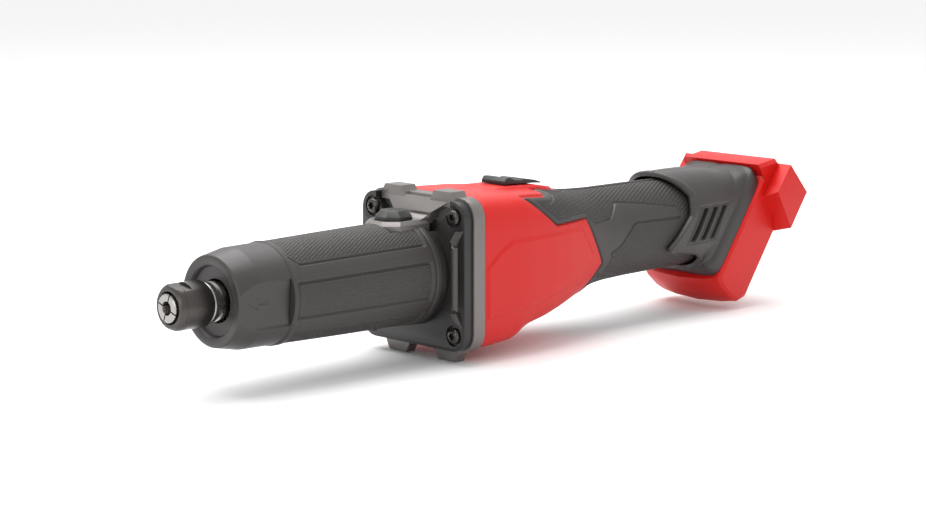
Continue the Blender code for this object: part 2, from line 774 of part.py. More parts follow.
def foot_side(y):
    """The foot's outline from the side, as (along, normal), at a distance from the middle."""
    crown = CROWN * (1 - (y / FOOT_HALF) ** 2)
    low = FOOT_LOW - crown
    return [
        (low + 1.0, FOOT_FRONT),
        (163.4, FOOT_FRONT),
        (166.6, 176.0),
        (177.0, 187.0),
        (176.2, 191.0),
        (168.4, FOOT_BACK),
        (low + 4.0, FOOT_BACK),
        (low - 1.5, FOOT_BACK - 4.5),
        (low - 2.2, FOOT_BACK - 12.0),
        (low - 1.2, FOOT_FRONT + 5.0),
    ]


def make_foot():
    rings = []
    for y, inset in ((-1, 1.4), (-0.95, 0), (-0.6, 0), (0, 0), (0.6, 0), (0.95, 0), (1, 1.4)):
        centre = (135.0, 197.0)
        ring = []
        for t, n in foot_side(y * FOOT_HALF):
            t -= inset * (1 if t > centre[0] else -1)
            n -= inset * (1 if n > centre[1] else -1)
            ring.append(foot_point(t, n, y * FOOT_HALF))
        rings.append(ring)
    foot = rings_solid("battery_foot", rings, RED)
    for side in (-1, 1):
        base = [(176.0, 190.4), (168.2, 209.8), (142.6, 209.9), (153.3, 189.8)]
        crown = [(174.8, 188.2), (169.6, 210.2), (145.9, 210.0), (156.7, 187.4)]
        rings = [
            [foot_point(t, n, side * (FOOT_HALF - 3)) for t, n in base],
            [foot_point(t, n, side * FOOT_HALF) for t, n in base],
            [foot_point(t, n, side * EAR_HALF) for t, n in crown],
        ]
        join(foot, rings_solid(f"ear_{side}", rings, RED))
    top, back = 220.0, FOOT_BACK + 20
    cut(foot, foot_block("cut_foot_channel", (SLOT_LOW, top), (193.0, 205.0), SLOT_HALF, RED))
    cut(foot, foot_block("cut_foot_mouth", (SLOT_LOW, top), (200.0, back), RAIL_HALF, RED))
    cut(foot, foot_block("cut_wire_way", (107.0, 121.0), (170.0, 195.0), 12.0, RED))
    terminals = foot_block("terminal_block", (SLOT_LOW + GAP, 122.0), (193.3, 203.0), 19.0, BLACK)
    for k in range(5):
        y = (k - 2) * 7.5
        cut(terminals, foot_block(f"cut_contact_{k}", (110.0, 130.0), (195.4, 198.6), 0.8, BLACK, y))
        foot_block(f"battery_contact_{k + 1}", (110.3, 140.0), (195.7, 198.3), 0.5, COPPER, y)


def make_electronics():
    block("control_module", (118.0, -14.0, -2.0), (160.0, 14.0, 11.0), POTTING)
    block("micro_switch", (106.5, -7.0, 15.5), (126.0, 7.0, 23.5), BLACK)


def main():
    make_nose()
    make_gearcase()
    make_flange()
    make_spindle()
    make_collet()
    make_motor()
    make_lock()
    make_switch()
    make_housing()
    make_shroud()
    make_foot()
    make_electronics()


main()
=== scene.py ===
"""Looks of the cordless die grinder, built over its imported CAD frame.

Shapes are drawn in tool coordinates, in millimetres: X along the spindle with 0 at the front
flange's face, Y across (left is -Y), Z up from the spindle axis. to_row() puts them in the frame.
"""

import json
from math import cos, pi, radians, sin

import bmesh
import bpy
import numpy as np
from mathutils import Matrix, Vector

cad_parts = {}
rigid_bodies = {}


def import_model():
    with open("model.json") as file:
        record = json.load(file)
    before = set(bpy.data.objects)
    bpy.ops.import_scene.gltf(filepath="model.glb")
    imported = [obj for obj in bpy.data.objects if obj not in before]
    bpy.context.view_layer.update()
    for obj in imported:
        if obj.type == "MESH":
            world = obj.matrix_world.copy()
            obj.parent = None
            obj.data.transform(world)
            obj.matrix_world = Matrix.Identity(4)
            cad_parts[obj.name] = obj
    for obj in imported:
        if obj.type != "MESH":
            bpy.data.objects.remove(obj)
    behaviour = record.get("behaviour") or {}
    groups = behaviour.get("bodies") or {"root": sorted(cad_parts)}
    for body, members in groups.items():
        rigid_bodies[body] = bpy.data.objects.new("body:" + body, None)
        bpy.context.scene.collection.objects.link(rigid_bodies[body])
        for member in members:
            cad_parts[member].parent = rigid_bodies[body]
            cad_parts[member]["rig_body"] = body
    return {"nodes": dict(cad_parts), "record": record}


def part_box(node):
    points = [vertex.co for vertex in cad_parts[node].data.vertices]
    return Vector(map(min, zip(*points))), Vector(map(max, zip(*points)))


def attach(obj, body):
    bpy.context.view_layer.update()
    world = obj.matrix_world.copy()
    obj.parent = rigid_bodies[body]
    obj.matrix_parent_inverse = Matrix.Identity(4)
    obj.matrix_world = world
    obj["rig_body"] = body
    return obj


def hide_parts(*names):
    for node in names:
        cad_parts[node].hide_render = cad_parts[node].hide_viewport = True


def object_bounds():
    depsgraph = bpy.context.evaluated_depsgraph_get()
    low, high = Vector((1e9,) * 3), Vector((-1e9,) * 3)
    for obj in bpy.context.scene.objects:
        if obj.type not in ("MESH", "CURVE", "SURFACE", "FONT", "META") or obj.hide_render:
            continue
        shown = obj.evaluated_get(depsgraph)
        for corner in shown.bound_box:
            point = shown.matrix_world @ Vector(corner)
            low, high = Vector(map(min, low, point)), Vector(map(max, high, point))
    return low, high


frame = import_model()
CAD_LOW, CAD_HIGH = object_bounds()

FLANGE_THICKNESS = 5.6
flange_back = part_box("front_flange")[1].x * 1000
spindle_low, spindle_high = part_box("spindle")
ORIGIN = np.array([flange_back - FLANGE_THICKNESS, 0, (spindle_low.z + spindle_high.z) * 500])


def to_row(points):
    return (np.asarray(points, float) + ORIGIN) / 1000


# ---------------------------------------------------------------- materials

for imported in list(bpy.data.materials):
    bpy.data.materials.remove(imported)


def linear(*rgb):
    """An sRGB colour of 0 to 255, as linear RGBA."""
    c = np.array(rgb) / 255
    return tuple(np.where(c <= 0.04045, c / 12.92, ((c + 0.055) / 1.055) ** 2.4)) + (1.0,)


def finish(
    name,
    colour,
    roughness,
    metallic=0.0,
    grain=0.0,
    scale=900.0,
    vary=0.06,
    shine=0.5,
    stretch=None,
):
    """A procedural finish: the colour and roughness wander a little, and a fine grain bumps it."""
    mat = bpy.data.materials.new(name)
    mat.use_nodes = True
    nodes, links = mat.node_tree.nodes, mat.node_tree.links
    shader = nodes["Principled BSDF"]
    shader.inputs["Base Color"].default_value = colour
    shader.inputs["Metallic"].default_value = metallic
    shader.inputs["Roughness"].default_value = roughness
    shader.inputs["Specular IOR Level"].default_value = shine
    place = nodes.new("ShaderNodeTexCoord")
    wide = nodes.new("ShaderNodeTexNoise")
    wide.inputs["Scale"].default_value = 60.0
    wide.inputs["Detail"].default_value = 4.0
    links.new(place.outputs["Object"], wide.inputs["Vector"])
    tone = nodes.new("ShaderNodeMix")
    tone.data_type = "RGBA"
    tone.inputs["A"].default_value = tuple(c * (1 - vary) for c in colour[:3]) + (1.0,)
    tone.inputs["B"].default_value = tuple(min(c * (1 + vary), 1) for c in colour[:3]) + (1.0,)
    links.new(wide.outputs["Fac"], tone.inputs["Factor"])
    links.new(tone.outputs["Result"], shader.inputs["Base Color"])
    rough = nodes.new("ShaderNodeMapRange")
    rough.inputs["To Min"].default_value = max(roughness - 0.06, 0.03)
    rough.inputs["To Max"].default_value = min(roughness + 0.06, 1)
    links.new(wide.outputs["Fac"], rough.inputs["Value"])
    links.new(rough.outputs["Result"], shader.inputs["Roughness"])
    if grain:
        fine = nodes.new("ShaderNodeTexNoise")
        fine.inputs["Scale"].default_value = scale
        fine.inputs["Detail"].default_value = 3.0
        source = place.outputs["Object"]
        if stretch:
            mapping = nodes.new("ShaderNodeMapping")
            mapping.inputs["Scale"].default_value = stretch
            links.new(source, mapping.inputs["Vector"])
            source = mapping.outputs["Vector"]
        links.new(source, fine.inputs["Vector"])
        bump = nodes.new("ShaderNodeBump")
        bump.inputs["Strength"].default_value = grain
        bump.inputs["Distance"].default_value = 0.0002
        links.new(fine.outputs["Fac"], bump.inputs["Height"])
        links.new(bump.outputs["Normal"], shader.inputs["Normal"])
    return mat


RED = finish(
    "red_plastic", linear(192, 20, 15), 0.42, grain=0.25, scale=2600, vary=0.03, shine=0.32
)
RUBBER = finish("grip_rubber", linear(50, 46, 45), 0.48, shine=0.5, grain=0.3, scale=2200)
DARK = finish("dark_plastic", linear(48, 44, 43), 0.4, grain=0.3, scale=2400)
# Painted shade: a darker plastic for the floors of the shroud's louvres, standing in for the shade
# inside the vents
VENT_SHADE = finish("painted_vent_shade", linear(30, 28, 27), 0.7, grain=0.2)
BLACK = finish("black_plastic", linear(27, 25, 24), 0.4, grain=0.3, scale=2400)
FACET = finish("flange_facet", linear(66, 62, 60), 0.34, grain=0.2, scale=2400)
GREY = finish("cast_metal", linear(116, 112, 110), 0.4, 0.6, grain=0.5, scale=1500)
ALLOY = finish("turned_alloy", linear(170, 172, 174), 0.32, 0.9, grain=0.3, stretch=(8, 1, 1))
STEEL = finish("bright_steel", linear(158, 155, 152), 0.26, 1.0, grain=0.2, stretch=(10, 1, 1))
BLACKENED = finish(
    "blackened_steel", linear(74, 70, 68), 0.26, 0.85, grain=0.2, stretch=(10, 1, 1)
)
IRON = finish("iron", linear(96, 94, 92), 0.45, 0.8, grain=0.4, stretch=(30, 1, 1))
COPPER = finish("copper", linear(190, 112, 70), 0.3, 0.95, grain=0.3)
FELT = finish("felt", linear(60, 58, 54), 0.9, grain=0.8)
BOARD = finish("circuit_board", linear(30, 84, 52), 0.45, grain=0.2)
POTTING = finish("potting", linear(40, 42, 46), 0.35, grain=0.2)
CAD_FINISHES = (
    RED, RUBBER, DARK, BLACK, GREY, ALLOY, STEEL, BLACKENED, IRON, COPPER, FELT, BOARD, POTTING
)
FINISHES = {mat.name: mat for mat in CAD_FINISHES}
SLOT = {part["node"]: part["material_slot"] for part in frame["record"]["subparts"]}
for node, obj in frame["nodes"].items():
    obj.data.materials.clear()
    obj.data.materials.append(FINISHES[SLOT[node]])


# ---------------------------------------------------------------- mesh helpers


def made(name, points, faces, mats, stands_for, index=None, smooth=True, sharp=40):
    """A mesh in tool millimetres that stands for CAD nodes and rides on their body."""
    data = bpy.data.meshes.new(name)
    points, faces = np.asarray(points, float), np.asarray(faces)
    data.from_pydata(to_row(points).tolist(), [], faces.tolist())
    for mat in mats:
        data.materials.append(mat)
    if index is not None:
        data.polygons.foreach_set("material_index", np.asarray(index, np.int32))
    data.validate()
    obj = bpy.data.objects.new(name, data)
    bpy.context.scene.collection.objects.link(obj)
    if smooth:
        data.shade_smooth()
        if sharp:
            data.set_sharp_from_angle(angle=radians(sharp))
    return settle(obj, stands_for)


def settle(obj, stands_for):
    """Makes the object ride with the nodes that it replaces. A cutter stands for none."""
    if stands_for:
        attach(obj, frame["nodes"][stands_for[0]]["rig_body"])
        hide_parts(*stands_for)
    return obj


def quads(rows, columns):
    """The faces of a grid of points whose columns close into a ring."""
    i, j = np.meshgrid(np.arange(rows - 1), np.arange(columns), indexing="ij")
    k = (j + 1) % columns
    i, j, k = i.ravel() * columns, j.ravel(), k.ravel()
    return np.stack([i + j, i + k, i + columns + k, i + columns + j], 1)


def subset(points, faces, keep):
    """The chosen faces, with only the points that they use."""
    faces = faces[keep]
    used, index = np.unique(faces, return_inverse=True)
    return points[used], index.reshape(faces.shape)


def revolve(name, profile, mat, stands_for, segments=96):
    """A closed profile of (X, radius) turned round the spindle axis."""
    profile = np.array(profile, float)
    turn = np.linspace(0, 2 * pi, segments, endpoint=False)
    x = np.repeat(profile[:, :1], segments, 1)
    y, z = profile[:, 1:] * np.cos(turn), profile[:, 1:] * np.sin(turn)
    points = np.stack([x, y, z], 2).reshape(-1, 3)
    first = np.arange(segments)
    last = (len(profile) - 1) * segments + first
    closing = np.stack([last, np.roll(last, -1), np.roll(first, -1), first], 1)
    faces = np.concatenate([quads(len(profile), segments), closing])
    obj = made(name, points, faces, [mat], stands_for, sharp=35)
    tidy_normals(obj)
    return obj


def tidy_normals(obj):
    """Welds points that meet and turns every face outwards."""
    bm = bmesh.new()
    bm.from_mesh(obj.data)
    bmesh.ops.remove_doubles(bm, verts=bm.verts, dist=1e-6)
    bmesh.ops.recalc_face_normals(bm, faces=bm.faces)
    bm.to_mesh(obj.data)
    bm.free()


def box_cutter(low, high, turn):
    """A box between two corners, turned round the spindle axis."""
    low, high = np.array(low, float), np.array(high, float)
    corners = np.array([[i, j, k] for i in (0, 1) for j in (0, 1) for k in (0, 1)])
    points = low + corners * (high - low)
    y, z = points[:, 1].copy(), points[:, 2].copy()
    points[:, 1], points[:, 2] = y * cos(turn) - z * sin(turn), y * sin(turn) + z * cos(turn)
    faces = [(0, 1, 3, 2), (4, 6, 7, 5), (0, 4, 5, 1), (2, 3, 7, 6), (0, 2, 6, 4), (1, 5, 7, 3)]
    return made("cutter", points, faces, [], None, smooth=False)


def carve(obj, *cutters):
    """Cuts the cutters out of the object and removes them."""
    for cutter in cutters:
        modifier = obj.modifiers.new("cut", "BOOLEAN")
        modifier.operation, modifier.solver, modifier.object = "DIFFERENCE", "EXACT", cutter
    apply(obj)
    for cutter in cutters:
        bpy.data.objects.remove(cutter)


def apply(obj):
    """Bakes the object's modifiers into its mesh."""
    bpy.context.view_layer.update()
    graph = bpy.context.evaluated_depsgraph_get()
    mesh = bpy.data.meshes.new_from_object(obj.evaluated_get(graph))
    obj.modifiers.clear()
    obj.data = mesh


def bevelled(node, width, mat, segments=3):
    """The CAD node's own shape with flat faces merged and its edges rounded."""
    obj = bpy.data.objects.new(f"{node}_shown", frame["nodes"][node].data.copy())
    bpy.context.scene.collection.objects.link(obj)
    bm = bmesh.new()
    bm.from_mesh(obj.data)
    bmesh.ops.remove_doubles(bm, verts=bm.verts, dist=2e-6)
    bmesh.ops.dissolve_limit(bm, angle_limit=radians(2), verts=bm.verts, edges=bm.edges)
    bm.to_mesh(obj.data)
    bm.free()
    modifier = obj.modifiers.new("edges", "BEVEL")
    modifier.width, modifier.segments = width / 1000, segments
    modifier.limit_method, modifier.angle_limit = "ANGLE", radians(28)
    modifier.harden_normals = True
    obj.data.shade_smooth()
    apply(obj)
    obj.data.set_sharp_from_angle(angle=radians(50))
    obj.data.materials.clear()
    obj.data.materials.append(mat)
    settle(obj, [node])


# ---------------------------------------------------------------- surface patterns

# A signed distance that lies outside every outline
OUTSIDE = -9.0

def step(value, low, high):
    """0 below low, 1 above high, and smooth between."""
    t = np.clip((value - low) / (high - low), 0, 1)
    return t * t * (3 - 2 * t)


def knurl(u, v, pitch, depth):
    """Crossed grooves at 60 degrees, leaving small diamonds."""
    a = (u * 0.5 + v * 0.87) / pitch
    b = (u * 0.5 - v * 0.87) / pitch
    groove = np.maximum(np.abs(2 * (a % 1) - 1), np.abs(2 * (b % 1) - 1))
    return -depth * step(groove, 0.45, 1.0)


def line(distance, half, depth):
    """A groove that follows a signed distance's zero."""
    return -depth * (1 - step(np.abs(distance), half * 0.45, half))


def polygon_distance(x, z, outline):
    """Signed distance to a polygon, positive inside."""
    outline = np.array(outline, float)
    best, inside = np.full(x.shape, 1e9), np.zeros(x.shape, bool)
    for (ax, az), (bx, bz) in zip(outline, np.roll(outline, -1, 0)):
        along = (x - ax) * (bx - ax) + (z - az) * (bz - az)
        t = np.clip(along / ((bx - ax) ** 2 + (bz - az) ** 2), 0, 1)
        best = np.minimum(best, np.hypot(x - ax - t * (bx - ax), z - az - t * (bz - az)))
        crosses = (az > z) != (bz > z)
        if az != bz:
            inside ^= crosses & (x < ax + (z - az) * (bx - ax) / (bz - az))
    return np.where(inside, best, -best)


# ---------------------------------------------------------------- nose and barrel grip

SEAM = -98.0
SEAM_GROOVE = -93.6
NOSE_FLAT = 21.3
BOSS_HALF, BOSS_FRONT = 12.2, -25.8
# Outlines in (X, radius): the whole barrel, and the nose's end face from the inside out
BARREL = np.array(
    [
        (-129.4, 21.5), (-128.8, 22.3), (-116.8, 24.7), (-91.0, 25.1),
        (-60.0, 25.8), (-12.0, 26.6), (-4.8, 26.8),
    ]
)
FACE = [
    (-122.5, 10.7), (-126.0, 10.7), (-126.3, 14.0), (-126.6, 16.6), (-129.0, 17.4),
    (-129.4, 17.9), (-129.4, 20.8),
]


def barrel():
    """The nose cap and the rubber grip, which share one displaced surface."""
    columns = 440
    x = np.concatenate([[-129.4, -129.1, -128.8], np.arange(-128.4, -4.9, 0.4), [-4.8]])
    turn = np.linspace(0, 2 * pi, columns, endpoint=False)
    x, turn = np.meshgrid(x, turn, indexing="ij")
    rise = np.arcsin(np.sin(turn))  # elevation on either side, so both sides match
    r = np.interp(x, BARREL[:, 0], BARREL[:, 1])
    s = r * rise

    def up(degrees):
        return r * radians(degrees)

    nose = x < SEAM
    # The nose has a flat on each side, with a step at its edges
    flat = NOSE_FLAT / np.cos(rise + radians(3.5))
    in_flat = np.minimum(np.minimum(s - up(-31), up(25) - s), (x + 128.6) * 2)
    nose_r = r - step(in_flat, 0, 0.5) * np.maximum(r - flat, 0)
    arrow = np.maximum(
        polygon_distance(x, s, [(-124, 1), (-117.6, 5.4), (-117.6, -3.4)]),
        polygon_distance(x, s, [(-119, 2.4), (-112.0, 2.4), (-112.0, -0.4), (-119, -0.4)]),
    )
    nose_r -= 0.35 * step(arrow, -0.1, 0.2)
    # The knurled panels: one on each side, one on the top and one underneath
    side = np.minimum(np.minimum(x + 95.2, -11.6 - x), np.minimum(s - up(-22), up(17) - s))
    chamfer = np.maximum(0, 5.5 - (s - up(38))) * 0.9
    top = np.minimum(np.minimum(x + 96.0 - chamfer, -12 - x), s - up(38))
    under = np.minimum(np.minimum(x + 93.0, -12 - x), up(-42.5) - s)
    panel = np.maximum(np.maximum(side, top), under)
    grip_r = r + 0.55 * (1 - step(panel, -0.9, 0.3))
    grip_r += line(panel + 0.1, 0.85, 0.9)
    knurled = step(panel, 1.0, 1.5)
    grip_r += knurled * (0.1 + knurl(x, s, 1.5, 0.42))
    ribs = line(s - up(26), 0.35, 0.18) * (x > -94) * (x < -12)
    grip_r += ribs
    radius = np.where(nose, nose_r, grip_r)
    radius += line(x - SEAM, 0.6, 0.9)
    radius += line(x - SEAM_GROOVE, 0.4, 0.25) * (panel < -0.5)
    radius += line(x + 8.0, 0.5, 0.5)
    points = np.stack([x, -radius * np.cos(turn), radius * np.sin(turn)], 2)
    faces = quads(x.shape[0], columns)[:, ::-1]
    flat_points = points.reshape(-1, 3)
    centre = flat_points[faces].mean(1)
    # The grip is left open on the top, where the lock button's boss stands
    boss = (np.abs(centre[:, 1]) < BOSS_HALF) & (centre[:, 0] > BOSS_FRONT) & (centre[:, 2] > 5)
    front = centre[:, 0] < SEAM
    p, f = subset(flat_points, faces, front)
    ring = np.linspace(0, 2 * pi, columns, endpoint=False)
    inner = np.array([[(fx, -fr * cos(a), fr * sin(a)) for a in ring] for fx, fr in FACE])
    inner_faces = quads(len(FACE), columns)[:, ::-1] + len(p)
    here = np.arange(columns)
    after = (here + 1) % columns
    last = len(p) + (len(FACE) - 1) * columns
    join = np.stack([last + here, last + after, after, here], 1)[:, ::-1]
    nose_points = np.concatenate([p, inner.reshape(-1, 3)])
    nose_faces = np.concatenate([f, inner_faces, join])
    made("nose_shown", nose_points, nose_faces, [DARK], ["nose_cap"], sharp=55)
    p, f = subset(flat_points, faces, ~front & ~boss)
    made("barrel_grip_shown", p, f, [RUBBER], ["barrel_grip"], sharp=0)


# ---------------------------------------------------------------- housing and handle

# Sections of (X, half width, top, bottom, squareness), and outlines in (X, Z) seen from the side
BODY = np.array(
    [
        (13.6, 38.4, 39.0, -40.0, 6.0),
        (26.0, 38.4, 38.8, -39.6, 6.0),
        (40.0, 38.2, 38.2, -38.4, 6.0),
        (46.0, 38.0, 38.0, -34.4, 6.0),
        (52.0, 37.6, 37.6, -32.6, 5.5),
        (66.0, 36.4, 36.6, -30.6, 5.0),
        (80.0, 34.4, 35.2, -28.0, 4.2),
        (95.0, 31.2, 33.0, -25.2, 3.3),
        (108.0, 28.2, 31.2, -23.0, 2.8),
        (118.0, 26.2, 30.6, -21.9, 2.4),
        (132.0, 24.8, 30.3, -21.0, 2.2),
        (150.0, 24.3, 30.3, -20.4, 2.2),
        (181.0, 24.3, 30.2, -20.0, 2.2),
        (206.0, 24.4, 30.2, -20.0, 2.2),
    ]
)
GRIP = [
    (47, 36), (68.5, 19.8), (97, 20), (112.8, -6.2), (92, -27), (92, -60),
    (300, -60), (300, 60), (72.8, 60), (72.8, 36.1), (67.6, 34.5),
]
PANEL = [
    (15.4, 3.9), (24.5, 11), (33.1, 15.6), (91, 16), (103, 0),
    (92, -12), (71.6, -15.7), (48.6, -20.3), (15.7, -22.6),
]
INLAY = [
    (106, 15.4), (121.6, 15.8), (131, 23.4), (155.6, 20.4), (177, 17.1),
    (179, 12), (143.8, 12.9), (140.3, 12.2), (128.8, 1.6), (120.4, -1.8),
    (121.6, -4.8), (114.5, -14.5), (109.5, -9.6), (112.8, -6.2), (97, 20),
]
# The red tongue's height along the top, in (X, Z)
TONGUE = np.array([(40, 37.2), (50, 38.6), (60, 38.5), (78, 37.6), (90, 35.4), (96, 31.6)])
BODY_END = 204.0


def smooth_interp(x, xs, ys, reach):
    """Interpolation averaged over a reach on both sides, which rounds the corners."""
    fine = np.linspace(-reach, reach, 9)
    return np.mean([np.interp(x + d, xs, ys) for d in fine], 0)


def body():
    """The red housing and the handle's rubber, which share one displaced surface."""
    columns, rows = 520, 470
    xs = np.linspace(BODY[0, 0], BODY_END, rows)
    half, top, bottom, square = (
        smooth_interp(xs, BODY[:, 0], values, 2.5) for values in BODY.T[1:]
    )
    fine = np.linspace(-pi / 2, 1.5 * pi, 1601)
    grid = np.empty((rows, columns, 3))
    arc = np.empty((rows, columns))
    for i, x in enumerate(xs):
        c, s = np.cos(fine), np.sin(fine)
        y = half[i] * np.sign(c) * np.abs(c) ** (2 / square[i])
        rise = np.sign(s) * np.abs(s) ** (2 / square[i])
        z = (top[i] + bottom[i]) / 2 + (top[i] - bottom[i]) / 2 * rise
        length = np.concatenate([[0], np.cumsum(np.hypot(np.diff(y), np.diff(z)))])
        at = np.linspace(0, length[-1], columns, endpoint=False)
        ring = [np.full(columns, x), np.interp(at, length, y), np.interp(at, length, z)]
        grid[i] = np.stack(ring, 1)
        arc[i] = at - length[-1] / 2
    across = np.roll(grid, -1, 1) - np.roll(grid, 1, 1)
    along = np.gradient(grid, axis=0)
    normal = np.cross(along, across)
    normal /= -np.linalg.norm(normal, axis=2, keepdims=True)
    x, y, z = grid[..., 0], grid[..., 1], grid[..., 2]
    if (normal[..., 1] * y).mean() < 0:
        normal = -normal
    upper = z > 0
    seam = polygon_distance(x, z, GRIP)
    width = 13.0 - np.maximum(x - 84, 0) * 0.42
    tongue = np.minimum(np.minimum(width - np.abs(y), x - 40.5), 96.2 - x)
    tongue = np.where(upper & (z > 20), tongue, OUTSIDE)
    grip_sd = np.minimum(seam, -tongue - 0.3)
    flank = np.abs(y) > 22
    red_lift = 0.8 * step(polygon_distance(x, z, PANEL) * flank - 5 * ~flank, -0.2, 1.4)
    inlay = polygon_distance(x, z, INLAY)
    inlay = np.where(np.abs(y) > 10, inlay, -5.0)
    plain = np.maximum(inlay, np.maximum(2.4 - grip_sd, -5.0))
    plain = np.maximum(plain, 1.2 - np.abs(y))
    coarse, fine_knurl = knurl(x, arc, 1.9, 0.5), knurl(x, arc, 1.5, 0.4)
    rough = np.where(z > 14, coarse, fine_knurl)
    grip_lift = 0.35 * step(plain, -0.5, 0.5) + line(plain + 0.6, 0.75, 0.75)
    grip_lift += (1 - step(plain, -1.7, -1.1)) * rough - 0.15
    lift = np.where(grip_sd > 0, grip_lift, red_lift)
    lift += line(grip_sd, 0.75, 1.1)
    lift += line(y, 0.35, 0.35) * np.where(tongue > 0, 0, 1)
    lift += line(x - 17.2, 0.5, 0.5) * upper * (np.abs(y) < 34)
    grid = grid + normal * lift[..., None]
    raised = np.interp(x, TONGUE[:, 0], TONGUE[:, 1]) - np.maximum(0, 1.6 - tongue)
    grid[..., 2] = np.where(tongue > 0, np.maximum(grid[..., 2], raised), grid[..., 2])
    points, faces = grid.reshape(-1, 3), quads(rows, columns)
    centre_sd = grip_sd.reshape(-1)[faces].mean(1)
    centre = points[faces].mean(1)
    corner, after, _, before = points[faces[0]]
    if np.cross(after - corner, before - corner) @ (centre[0] * (0, 1, 1)) < 0:
        faces = faces[:, ::-1]
        centre_sd, centre = grip_sd.reshape(-1)[faces].mean(1), points[faces].mean(1)
    for name, side in (("left", -1), ("right", 1)):
        mine = centre[:, 1] * side > 0
        p, f = subset(points, faces, mine & (centre_sd <= 0))
        made(f"housing_{name}_shown", p, f, [RED], [f"housing_{name}"], sharp=60)
        p, f = subset(points, faces, mine & (centre_sd > 0))
        grip = f"handle_grip_{name}"
        made(f"{grip}_shown", p, f, [RUBBER], [grip], sharp=0)


# ---------------------------------------------------------------- shroud

TILT = radians(35)


def foot_point(along, normal):
    """(X, Z) of a point given along the slanted foot's face and square to it."""
    return along * sin(TILT) + normal * cos(TILT), along * cos(TILT) - normal * sin(TILT)


# Sections of (top point, bottom point, half width, squareness), and the front edge in (X, Z)
SHROUD = [
    ((165, 33.4), (165, -22.9), 27.2, 2.3),
    ((180, 34), (180, -23.1), 27.4, 2.4),
    ((198, 34.2), (186.5, -23.1), 27.5, 2.6),
    ((214, 33.8), (192, -22.9), 26.8, 3.0),
    ((229, 32.6), (196, -21.8), 25.6, 3.4),
    (foot_point(163.8, 175.1), foot_point(98.6, 175.1), 25.4, 6.0),
    (foot_point(165.4, 176.5), foot_point(97.9, 176.5), 26.5, 8.0),
    (foot_point(165.0, 178.5), foot_point(97.7, 178.5), 26.9, 9.0),
    (foot_point(162.8, 183.1), foot_point(97.5, 183.1), 27.3, 9.0),
]
SHROUD_CUT = [
    (140, 60), (181, 60), (181, 33), (186.5, 23), (184.5, 12), (167.5, -6),
    (168.5, -8.6), (189, -9.6), (196.5, -15), (197, -60), (140, -60),
]
FIRST_VENT, VENT_PITCH = 183.4, 8.4


